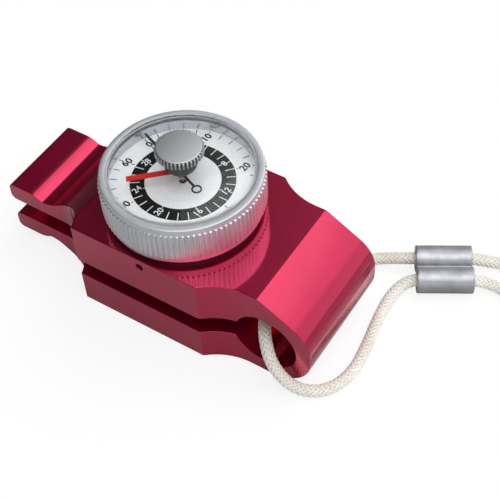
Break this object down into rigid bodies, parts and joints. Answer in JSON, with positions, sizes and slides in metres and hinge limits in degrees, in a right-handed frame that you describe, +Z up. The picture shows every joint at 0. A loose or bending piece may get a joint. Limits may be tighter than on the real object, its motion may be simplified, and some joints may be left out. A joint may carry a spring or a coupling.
{
  "type": "pinch gauge",
  "caption": "Hand-held pinch gauge: squeezing its red sprung frame turns a force pointer on a round dial, and a knob resets the peak pointer.",
  "frame": {"origin": "centre of the frame's length and width, at the bottom face", "axes": "+X towards the bend that joins the arms, -Y towards the front with the clamp screw, +Z up through the dial"},
  "size_m": [0.1992, 0.0854, 0.0527],
  "materials": {
    "red_anodised": "gloss red anodised",
    "steel": "ground",
    "dark_steel": "blackened",
    "brass": "satin",
    "case": "dark satin",
    "bezel_metal": "satin, fluted",
    "knob_metal": "satin",
    "crystal": "clear",
    "dial_white": "matt white print",
    "black_paint": "matt",
    "red_paint": "satin",
    "cord": "braided, off-white",
    "ferrule": "dull, crimped"
  },
  "bodies": {
    "lower_arm": {"lower_arm": "red_anodised", "anvil_button": "steel", "lanyard_loop": "cord", "wrist_loop": "cord", "ferrule": "ferrule"},
    "upper_arm": {"upper_arm": "red_anodised", "clamp_screw": "dark_steel", "gauge_case": "case", "guide_bush": "brass", "sector_brackets": "brass", "arbor_cock": "brass", "top_plate": "brass", "plate_pillars": "brass", "movement_screws": "steel", "hairspring_stud": "steel", "hairspring": "dark_steel", "return_spring": "steel", "bezel_wire": "steel"},
    "plunger": {"plunger_rack": "steel", "contact_point": "steel"},
    "sector": {"sector_arbor": "steel", "sector_gear": "brass"},
    "pointer": {"pointer_arbor": "steel", "hairspring_collet": "brass", "force_pointer": "black_paint"},
    "bezel": {"bezel": "bezel_metal", "crystal": "crystal", "spacer_ring": "bezel_metal", "dial_plate": "dial_white", "dial_clip": "steel"},
    "peak": {"reset_knob": "knob_metal", "knob_stem": "steel", "peak_pointer": "red_paint", "friction_washer": "brass"}
  },
  "joints": [
    {"name": "pinch", "type": "hinge", "parent": "lower_arm", "child": "upper_arm", "pos_m": [0.0466, 0, 0.0132], "axis": [0, -1, 0], "range_deg": [0, 2.37], "stiffness_Nm_per_rad": 590},
    {"name": "plunger_slide", "type": "slide", "parent": "upper_arm", "child": "plunger", "axis": [0, 0, 1], "range_m": [0, 0.00185], "deforming": ["return_spring"]},
    {"name": "sector_swing", "type": "hinge", "parent": "upper_arm", "child": "sector", "pos_m": [0.0021, 0, 0.02755], "axis": [1, 0, 0], "range_deg": [0, 53]},
    {"name": "pointer_turn", "type": "hinge", "parent": "upper_arm", "child": "pointer", "pos_m": [0.0021, 0, 0.042], "axis": [0, 0, -1], "range_deg": [0, 331], "deforming": ["hairspring"]},
    {"name": "bezel_turn", "type": "hinge", "parent": "upper_arm", "child": "bezel", "pos_m": [0.0021, 0, 0.0385], "axis": [0, 0, 1], "continuous": true},
    {"name": "peak_turn", "type": "hinge", "parent": "bezel", "child": "peak", "pos_m": [0.0021, 0, 0.0453], "axis": [0, 0, 1], "range_deg": [-36, 294]}
  ],
  "couplings": [
    {"joint": "plunger_slide", "follows": "pinch", "m_per_rad": 0.0445},
    {"joint": "sector_swing", "follows": "pinch", "ratio": 22.25},
    {"joint": "pointer_turn", "follows": "pinch", "ratio": 139.06}
  ]
}
